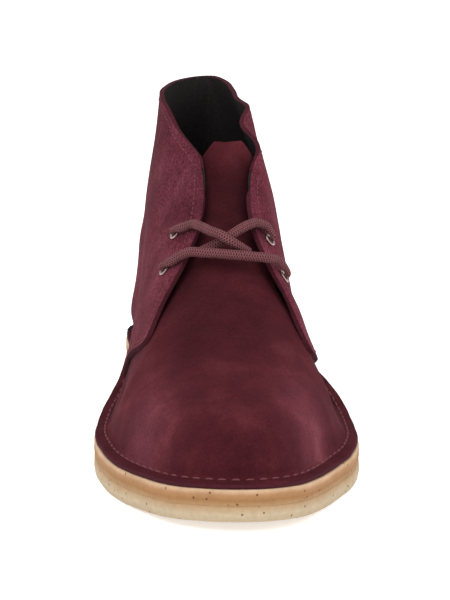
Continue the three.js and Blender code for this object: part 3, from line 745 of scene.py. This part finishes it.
def angle_at_half(side, y, half):
    """The angle up one cross-section of the vamp at which it is half wide."""
    low, high = 0.0, math.pi / 2
    for _ in range(24):
        angle = (low + high) / 2
        wide = upper_half("vamp", side, y, section_height(y, angle), VAMP_OFFSET) > half
        low, high = (angle, high) if wide else (low, angle)
    return low


def tongue_half_at(y):
    """Half-width of the tongue at a place along it, zero past its round tip."""
    length = math.hypot(TIP[0] - ROOT[0], TIP[1] - ROOT[1])
    along = ((TIP[0] - ROOT[0]) / length, (TIP[1] - ROOT[1]) / length)
    run = (y - ROOT[0]) * along[0] + (ridge_z("vamp", y, VAMP_OFFSET) - ROOT[1]) * along[1]
    left = clamp((length - run) / TIP_LENGTH, 0, 1)
    return TONGUE_HALF * (1 - (1 - left) ** TIP_POWER) ** (1 / TIP_POWER)


def tongue_end():
    """How far back the tongue reaches."""
    near, far = -20.0, 60.0
    for _ in range(40):
        middle = (near + far) / 2
        near, far = (middle, far) if tongue_half_at(middle) > 0 else (near, middle)
    return near


def vamp_piece():
    """Toe, sides and tongue as one sheet of suede, with its sides running under the quarters."""
    hidden = side_curve(SEAM, SKIRT, 200)
    join_y, join_z = hidden[-1]
    reach = SOLE_LENGTH / 2 - FLANGE_WIDTH + VAMP_OFFSET
    end = tongue_end()

    front = [Vector((0, -reach + 1e-4, foot_line(-reach)))]
    for i in range(1, 600):
        y = -reach * math.cos(i * 0.005)
        if y < join_y:
            front.append(Vector((0, y, ridge_z("vamp", y, VAMP_OFFSET))))
    rows = [p.y for p in resample(front, VAMP_ROWS)]
    rows[-1] = join_y
    for i in range(1, TONGUE_ROWS + 1):
        rows.append(join_y + (end - 0.12 - join_y) * (1 - (1 - i / TONGUE_ROWS) ** 1.7))

    def on_wall(side, y, z):
        """A point of the toe or a side, which turns out onto the flange at its foot."""
        foot = foot_line(y) + FLANGE_TOP
        push = turn_out(z - foot, 2.0)
        z = max(z, foot - 0.1)
        place = pushed("vamp", side, y, z, VAMP_OFFSET, push)
        wear = vamp_wear(side, y, z)
        if abs(wear) > 1e-4 and y > -reach + 2:
            place = place + skin_out("vamp", side, y, z, VAMP_OFFSET) * wear
        return place

    def on_tongue(side, y, across):
        """A point of the tongue, moved back along the skin, further toward the tongue's sides."""
        sweep = TIP_SWEEP * (across / TONGUE_HALF) ** 2.5
        back = y + sweep * smoothstep(y, join_y + TONGUE_BLEND, end)
        z = section_height(back, angle_at_half(side, back, across))
        place = Vector((upper_middle(back, z) + SIGN[side] * across, back, z))
        return place + skin_out("vamp", side, back, z, VAMP_OFFSET) * vamp_wear(side, back, z)

    quarter_turn = math.pi / 2
    angles = [quarter_turn * k / HALF_COLUMNS for k in range(HALF_COLUMNS + 1)]
    points = []
    for y in rows:
        half = tongue_half_at(y)
        for side, order in (("lateral", angles), ("medial", angles[::-1][1:])):
            if y <= join_y:
                points += [on_wall(side, y, section_height(y, a)) for a in order]
                continue
            low = angle_at_half(side, y, half) * smoothstep(y, join_y, join_y + TONGUE_BLEND)
            narrow = half < upper_half("vamp", side, y, ridge_z("vamp", y, VAMP_OFFSET), VAMP_OFFSET)
            for a in order:
                z = section_height(y, low + (quarter_turn - low) * a / quarter_turn)
                if a == angles[-1]:
                    across = 0
                elif narrow:
                    across = half * (1 - a / quarter_turn)
                else:
                    across = upper_half("vamp", side, y, z, VAMP_OFFSET)
                points.append(on_tongue(side, y, across))
    faces = grid_faces(len(rows), 2 * HALF_COLUMNS + 1)

    # Skirts under the quarters, which share the points of the last row of the vamp
    heights = []
    for a in angles:
        heights.append(section_height(join_y, a))
        if heights[-1] > join_z:
            break
    join_foot = foot_line(join_y)
    last_y = next(y for y, z in hidden if z > foot_line(y) + FLANGE_TOP + 1.5)
    for side in SIGN:
        faces += grid_faces(SKIRT_ROWS, len(heights), start=len(points))
        for r in range(SKIRT_ROWS):
            y = join_y + (last_y - join_y) * r / (SKIRT_ROWS - 1)
            top = next((z for hy, z in reversed(hidden) if hy >= y), hidden[0][1])
            scale = (top - foot_line(y)) / (join_z - join_foot) if r else 1
            points += [on_wall(side, y, foot_line(y) + (z - join_foot) * scale) for z in heights]
    obj = make_object("vamp_and_tongue", points, faces, [VAMP, LINING, EDGE])
    weld_and_face_out(obj, 0.03)
    return obj


def vamp_tone_and_painted_light(p):
    """Darker down the middle and behind the toe in painted shade under the laces, paler at its sides and
    on the tip in painted highlights, with a painted highlight on the tongue's top, over random patches
    and streaks of the suede's own tone.
    """
    x, y, z = p
    up = smoothstep(y, -45, -5)
    side = smoothstep(abs(x + 2), 14, 44)
    patch = 0.5 + 0.5 * lump(x, y, z, 0.07, 2.9)
    streak = 0.5 + 0.5 * lump(x + 0.6 * z, y, z * 0.4, 0.19, 0.6)
    # Painted highlights: pale, pinker patches on both sides of the toe and a paler tip.
    toe = math.exp(-(((abs(x) - 34) / 13) ** 2) - ((y + 100) / 24) ** 2)
    base = 0.92 + 0.3 * side * (1 - up) + toe + 0.16 * smoothstep(-y, 70, 105)
    base += 0.16 * (patch - 0.5) + 0.12 * (streak - 0.5) * side
    # Painted shade toward the throat under the laces, and a painted highlight on the tongue's top.
    base *= 1 - 0.3 * up + 0.32 * smoothstep(z, 112, 124)
    red = 1 + 0.05 * (patch - 0.5)
    return (base * red, base * (1 + 0.4 * toe), base * (1 + 0.36 * toe))


def finish_sheet(obj, tone_at):
    """Gives a sheet its thickness inward, with a dark cut edge, a softened rim and its lining."""
    paint_tone(obj, tone_at)
    solid = obj.modifiers.new("thickness", "SOLIDIFY")
    solid.thickness = SUEDE * MM
    solid.offset = -1
    solid.material_offset = 1
    solid.material_offset_rim = 2
    edge = obj.modifiers.new("rim", "BEVEL")
    edge.width = 0.45 * MM
    edge.segments = 2
    edge.limit_method = "ANGLE"
    edge.angle_limit = math.radians(55)
    edge.material = -1


QUARTER_ROWS, QUARTER_COLUMNS, EDGE_POINTS = 96, 120, 400
COUNTER_SWELL = 1.5
HOLE, HOLE_NEAR = 2.45, 5  # an eyelet hole's radius, and how near to it a point is looked at


def quarter_wear(side, y, z):
    """Slow waves and sags of the quarters and the heel counter's swell, in millimetres."""
    x = SIGN[side] * 30
    low = smoothstep(z - foot_line(y), 5, 18)
    slow = 0.35 * lump(x, y, z, 0.075, 3.3) + 0.15 * lump(x, y, z, 0.21, 1.1)
    slump = -0.9 * math.exp(-(((z - 62) / 9) ** 2) - ((y - 62) / 30) ** 2)
    slump -= 0.6 * math.exp(-(((z - 78 - 0.2 * (y - 60)) / 7) ** 2) - ((y - 70) / 26) ** 2)
    counter = COUNTER_SWELL * math.exp(-(((z - 39) / 9) ** 2)) * smoothstep(z - foot_line(y), 3, 12)
    return low * (slow + slump) + counter * smoothstep(y, 48, 85) * (1 - smoothstep(y, 108, 134))


def skewed(side, y, z, share=1.0):
    """The flaps' edge lies a little further forward and lower on the inner side."""
    place_y, place_z = y, z
    rise = smoothstep(z - foot_line(y), 0, 14) * share
    for _ in range(3):
        x = skin_point("quarter", side, place_y, place_z, SUEDE).x
        place_y, place_z = y - FLAP_FORWARD * x * share, z - FLAP_DROP * x * rise
    return place_y, place_z


def quarter_piece():
    """Both quarters with their flaps as one sheet, sewn at the back of the heel."""
    rows, columns = QUARTER_ROWS, QUARTER_COLUMNS
    reach = SOLE_LENGTH / 2 - FLANGE_WIDTH + SUEDE
    seam, front, top = side_curve(SEAM), side_curve(FRONT), side_curve(TOP)
    low = seam[0][0]
    left = resample([Vector((y, max(z, foot_line(y)), 0)) for y, z in seam + front], EDGE_POINTS)
    collar = [Vector((y, z, 0)) for y, z in [front[-1]] + top]
    collar.append(Vector((reach - lean_at(BOOT_HEIGHT), BOOT_HEIGHT, 0)))
    collar = resample(collar, EDGE_POINTS)

    def at_share(line, share):
        place = clamp(share, 0, 1) * (len(line) - 1)
        i = min(int(place), len(line) - 2)
        return line[i].lerp(line[i + 1], place - i)

    def back_at(v):
        z = foot_line(reach) + (BOOT_HEIGHT - foot_line(reach)) * v
        return Vector((reach - lean_at(z), z, 0))

    def foot_at(u):
        y = low + (reach - low) * u
        return Vector((y, foot_line(y), 0))

    starts = {}
    points, faces = [], []
    for side in SIGN:
        starts[side] = len(points)
        faces += grid_faces(rows, columns, start=len(points))
        for r in range(rows):
            v = r / (rows - 1)
            for c in range(columns):
                u = math.sin(math.pi / 2 * c / (columns - 1))
                flat = (
                    at_share(left, v) * (1 - u) + back_at(v) * u
                    + (foot_at(u) - foot_at(0).lerp(foot_at(1), u)) * (1 - v)
                    + (at_share(collar, u) - collar[0].lerp(collar[-1], u)) * v
                )
                y, z = flat.x, flat.y
                if c == columns - 1:
                    y = reach - lean_at(z)
                else:
                    y, z = skewed(side, y, z, 1 - u ** 6)
                base = foot_line(y) + QUARTER_FOOT
                z = max(z, base - 0.1)
                place = pushed("quarter", side, y, z, SUEDE, turn_out(z - base, 1.6))
                if 0 < c < columns - 3:
                    place = place + skin_out("quarter", side, y, z, SUEDE) * quarter_wear(side, y, z)
                points.append(place)

    # Round holes for the eyelets
    gone = set()
    for seat in SEATS.values():
        start = starts[seat.side]
        for i in range(start, start + rows * columns):
            away = points[i] - seat.place
            if away.length > HOLE_NEAR:
                continue
            flat = away - seat.out * away.dot(seat.out)
            if flat.length < HOLE:
                gone.add(i)
                points[i] = seat.place + seat.out * away.dot(seat.out) + flat.normalized() * HOLE
    faces = [f for f in faces if not all(i in gone for i in f)]
    obj = make_object("quarters", points, faces, [QUARTER, LINING, EDGE])
    weld_and_face_out(obj, 0.05)
    return obj


quarter_edge = side_curve(SEAM) + side_curve(FRONT) + side_curve(TOP)
quarter_edge = [Vector((0, y, z)) for y, z in quarter_edge[::4]]


def quarter_tone_and_painted_light(p):
    """Paler along the cut edges, with a painted highlight over the whole inner side and painted shade
    high on the outer side.
    """
    x, y, z = p
    near = min((Vector((0, y, z)) - q).length for q in quarter_edge)
    rim = math.exp(-((near / 3.2) ** 2))
    patch = lump(x, y, z, 0.06, 5.1)
    streak = lump(x, y * 0.5, z + 0.3 * y, 0.17, 2.2)
    value = 0.97 + 0.1 * rim + 0.05 * patch + 0.05 * streak
    # Painted light: the inner side lighter as a painted highlight, the outer side darker high up as
    # painted shade.
    value *= 1.1 if x >= 0 else 1 - 0.18 * smoothstep(z, 80, 110)
    return (value, value * (1 + 0.04 * rim), value * (1 + 0.05 * rim))


for sheet, sheet_tone in ((vamp_piece(), vamp_tone_and_painted_light), (quarter_piece(), quarter_tone_and_painted_light)):
    finish_sheet(sheet, sheet_tone)
    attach(sheet, "root")
    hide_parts("upper")


# Sole and flange, as rings of points round the foot
RING_SAMPLES = 300


def ring_points(inset, height_at):
    """A closed ring round the foot outline, inset from the sole's edge, at a height by y."""
    reach = SOLE_LENGTH / 2 - inset
    out = []
    for k in range(RING_SAMPLES):
        turn = 2 * math.pi * k / RING_SAMPLES
        a = turn if turn <= math.pi else 2 * math.pi - turn
        side = "lateral" if turn <= math.pi else "medial"
        y = -reach * math.cos(a)
        x = spine_x(y) + SIGN[side] * outline_half(side, a, inset)
        out.append(Vector((x, y, height_at(y))))
    return out


def even_ring(ring, count):
    return resample(ring + [ring[0]], count + 1)[:-1]


RING = 420
SOLE_CORE = 4.0  # inset of the flat faces between the layers


def loft_rings(name, profile, materials, rough, levels=None, close=True):
    """A ring-shaped or capped body from (inset, height function) rows."""
    rings = [even_ring(ring_points(inset, height), RING) for inset, height in profile]
    for r, ring in enumerate(rings):
        rough(r, ring)
    points = [p for ring in rings for p in ring]
    faces = grid_faces(len(rings), RING, wrap=True)
    if close:
        for row in (0, len(rings) - 1):
            start = row * RING
            for k in range(RING // 2 - 1):
                a, b = start + k, start + k + 1
                c, d = start + RING - 1 - k - 1, start + RING - 1 - k
                faces.append((a, b, c, d) if row == 0 else (d, c, b, a))
    obj = make_object(name, points, faces, materials)
    if levels:
        paint_level(obj, [level for level in levels for _ in range(RING)])
    return obj


def pebbled(amount, rows_kept):
    """Presses a ring in by up to amount, unevenly, but for the rows that are kept."""
    def change(r, ring):
        if r in rows_kept:
            return
        for k, p in enumerate(ring):
            wave = 0.5 * math.sin(k * 0.37 + r * 1.9) + 0.3 * math.sin(k * 1.13 + r)
            wave += 0.4 * (rng.random() - 0.5)
            out = Vector((p.x, p.y, 0)).normalized()
            ring[k] = p - out * amount * (0.5 + 0.5 * wave)

    return change


def part_way(share):
    return lambda y: tread_line(y) + (outsole_top(y) + LAYER_GAP - tread_line(y)) * share


def mid_way(share):
    return lambda y: outsole_top(y) + LAYER_GAP * 0.5 + (MIDSOLE + LAYER_GAP * 0.5) * share


def above_foot(height):
    return lambda y: foot_line(y) + height


outsole_rows = ((0.05, 0.3), (0, 0.5), (0.05, 0.7), (0.15, 0.88), (0.3, 1), (SOLE_CORE, 1))
outsole_obj = loft_rings(
    "outsole_crepe",
    [(2.4, tread_line), (0.9, lambda y: tread_line(y) + 0.25), (0.25, lambda y: tread_line(y) + 0.9)]
    + [(inset, part_way(share)) for inset, share in outsole_rows],
    [CREPE_LIGHT],
    pebbled(0.22, (0, 8)),
    levels=[0, 0.06, 0.14] + [share for _, share in outsole_rows],
)
midsole_rows = (
    (SOLE_CORE, 0), (0.35, 0), (0.2, 0.1), (0.1, 0.3), (0.05, 0.5),
    (0.05, 0.7), (0.1, 0.88), (0.35, 0.97), (0.8, 1), (SOLE_CORE, 1),
)
# The midsole's top rows, at levels near 1, carry the painted highlight of its top edge.
midsole_obj = loft_rings(
    "midsole_crepe",
    [(inset, mid_way(share)) for inset, share in midsole_rows],
    [CREPE_TAN_AND_PAINTED_HIGHLIGHT],
    pebbled(0.2, (0, 9)),
    levels=[0, 0, 0.1, 0.3, 0.5, 0.7, 0.88, 0.95, 1, 1],
)


def flange_rough(r, ring):
    """Makes the cut edge a little ragged and the upper face a little wavy."""
    ragged = 0.28 if r < 6 else 0
    wavy = 0.12 if r > 1 else 0
    for k, p in enumerate(ring):
        wave = 0.5 * math.sin(k * 0.21 + 1) + 0.3 * math.sin(k * 0.57 + 2)
        wave += 0.35 * (rng.random() - 0.5)
        out = Vector((p.x, p.y, 0)).normalized()
        ring[k] = p - out * ragged * wave + Vector((0, 0, wavy * wave))


flange_rows = (
    (7.2, 0.05), (1, -0.05), (0.72, 0.3), (0.62, 1), (0.7, 1.7), (1, 2.1),
    (1.6, 2.25), (2.6, 2.45), (3.8, 2.75), (5.2, 3.05), (7.2, 3.1),
)
flange_obj = loft_rings(
    "flange", [(inset, above_foot(height)) for inset, height in flange_rows],
    [VAMP, EDGE], flange_rough, close=False,
)
for poly in flange_obj.data.polygons:
    if 1 <= poly.index // RING <= 3:
        poly.material_index = 1
paint_tone(flange_obj, lambda p: (0.98, 0.96, 0.97))


def heel_piece():
    """Crepe heel lift with a slanted breast, under the outsole's heel."""
    levels = [
        (2.2, HEEL_SLANT, lambda y: 0.0, 0.0),
        (0.8, HEEL_SLANT * 0.98, lambda y: 0.25, 0.05),
        (0.2, HEEL_SLANT * 0.9, lambda y: 0.9, 0.12),
        (0.0, HEEL_SLANT * 0.6, lambda y: tread_line(y) * 0.4, 0.4),
        (0.05, HEEL_SLANT * 0.25, lambda y: tread_line(y) * 0.75, 0.75),
        (0.15, 0, lambda y: tread_line(y) - 0.05, 1.0),
    ]
    per_side, across = 90, 24
    points, values = [], []
    for inset, back, height, level in levels:
        start = angle_at(HEEL_FRONT + back, inset)
        reach = SOLE_LENGTH / 2 - inset
        edges = []
        for side in SIGN:
            edge = []
            for i in range(per_side + 1):
                a = start + (math.pi - start) * (1 - (1 - i / per_side) ** 1.3)
                y = -reach * math.cos(a)
                wave = 0.1 * math.sin(i * 0.9 + level * 5) + 0.08 * (rng.random() - 0.5)
                half = outline_half(side, a, inset) - 0.1 + (wave if 0 < i < per_side else 0)
                edge.append(Vector((spine_x(y) + SIGN[side] * max(half, 0), y, height(y))))
            edges.append(edge)
        ring = edges[0] + edges[1][::-1][1:]
        ring += [ring[-1].lerp(ring[0], k / across) for k in range(1, across)]
        points += ring
        values += [level * 0.9] * len(ring)
    faces = tube_faces(len(levels), len(points) // len(levels))
    obj = make_object("heel_lift", points, faces, [CREPE_LIGHT])
    paint_level(obj, values)
    return obj


heel_obj = heel_piece()
for piece, node, slot in (
    (outsole_obj, "outsole", "crepe"),
    (midsole_obj, "midsole", "crepe_dark"),
    (flange_obj, "upper", "suede"),
    (heel_obj, "heel", "crepe"),
):
    weld_and_face_out(piece, 0.001)
    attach(piece, "root")
    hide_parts(node)


# Stitches
class Stitches:
    """Thread stitches gathered in one mesh. Each dives into the suede at both ends."""

    def __init__(self, name, radius, lift):
        self.name, self.radius, self.lift = name, radius, lift
        self.points, self.faces = [], []

    def add(self, a, b, out_a, out_b):
        sides, steps = 6, 7
        start = len(self.points)
        along = (b - a).normalized()
        for i in range(steps):
            t = i / (steps - 1)
            rise = math.sin(math.pi * t) ** 0.6
            out = out_a.lerp(out_b, t).normalized()
            across = along.cross(out).normalized()
            centre = a.lerp(b, t) + out * (self.lift * rise - self.radius * 0.7 * (1 - rise))
            radius = self.radius * (0.55 + 0.45 * rise)
            for k in range(sides):
                turn = 2 * math.pi * k / sides
                self.points.append(centre + (across * math.cos(turn) + out * math.sin(turn)) * radius)
        self.faces += tube_faces(steps, sides, start)

    def build(self):
        obj = make_object(self.name, self.points, self.faces, [THREAD])
        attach(obj, "root")
        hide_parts("upper")


def row_of_stitches(stitches, places, outs, pitch, share):
    """Stitches along a line of surface points, each taking a share of the pitch."""
    lengths = run_lengths(places)
    count = max(1, int(lengths[-1] / pitch))
    step = lengths[-1] / count

    def at(run):
        last = len(lengths) - 2
        i = next((k for k in range(last) if lengths[k + 1] > run), last)
        t = clamp((run - lengths[i]) / max(lengths[i + 1] - lengths[i], 1e-9), 0, 1)
        return places[i].lerp(places[i + 1], t), outs[i].lerp(outs[i + 1], t).normalized()

    for n in range(count):
        begin = n * step + step * (1 - share) / 2 + (rng.random() - 0.5) * 0.06 * step
        a, out_a = at(begin)
        b, out_b = at(begin + step * share)
        stitches.add(a, b, out_a, out_b)


EDGE_STITCH_INSET = 3.0

welt = Stitches("flange_stitches", 0.5, 0.15)
crease = even_ring(ring_points(5.0, above_foot(3.05)), 900)
crease.append(crease[0].copy())
row_of_stitches(welt, crease, [Vector((0, 0, 1))] * len(crease), 5.6, 0.74)
welt.build()


def inner_line(rows, inward, count=120):
    """The side-view line that runs inside an edge of the quarters at a distance."""
    line = side_curve(rows, 0, count)
    out = []
    for i, (y, z) in enumerate(line):
        a, b = line[max(i - 1, 0)], line[min(i + 1, count - 1)]
        dy, dz = b[0] - a[0], b[1] - a[1]
        size = math.hypot(dy, dz)
        out.append((y + inward * dz / size, z - inward * dy / size))
    return out


fine = Stitches("edge_stitches", 0.24, 0.06)
for side in SIGN:
    for rows in (SEAM, FRONT, TOP):
        line = inner_line(rows, EDGE_STITCH_INSET)
        line = [(y, z) for y, z in line if z > foot_line(y) + FLANGE_TOP + 1.5 and y < 120]
        places, outs = [], []
        for y, z in [skewed(side, *p) for p in line]:
            out = skin_out("quarter", side, y, z, SUEDE)
            places.append(skin_point("quarter", side, y, z, SUEDE) + out * quarter_wear(side, y, z))
            outs.append(out)
        row_of_stitches(fine, places, outs, 2.7, 0.7)
fine.build()


# The CAD insole stays, in dark leather
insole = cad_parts["insole"]
for material_slot in insole.material_slots:
    material_slot.material = INSOLE


# Floor and light
def studio():
    bpy.ops.mesh.primitive_plane_add(size=6, location=(0, 0, 0))
    floor = bpy.context.object
    floor.name = "floor"
    material, _, bsdf = node_material("floor_white")
    bsdf.inputs["Base Color"].default_value = (0.9, 0.9, 0.9, 1)
    bsdf.inputs["Roughness"].default_value = 0.9
    bsdf.inputs["Emission Color"].default_value = (1, 1, 1, 1)
    bsdf.inputs["Emission Strength"].default_value = 0.5
    floor.data.materials.append(material)
    world = bpy.data.worlds.new("studio")
    bpy.context.scene.world = world
    world.use_nodes = True
    sky = world.node_tree.nodes["Background"].inputs
    sky["Color"].default_value = (1, 1, 1, 1)
    sky["Strength"].default_value = 0.7
    bpy.context.scene.view_settings.view_transform = "Standard"
    for name, place, size, power in (
        ("key", (-0.7, -0.9, 1.3), 1.0, 9),
        ("fill", (0.9, -0.8, 0.9), 1.2, 5),
        ("top", (0, 0.2, 1.6), 1.4, 8),
    ):
        data = bpy.data.lights.new(name, "AREA")
        data.size = size
        data.energy = power
        light = bpy.data.objects.new(name, data)
        light.location = place
        light.rotation_mode = "QUATERNION"
        light.rotation_quaternion = (Vector((0, 0, 0.05)) - Vector(place)).to_track_quat("-Z", "Y")
        bpy.context.collection.objects.link(light)


studio()
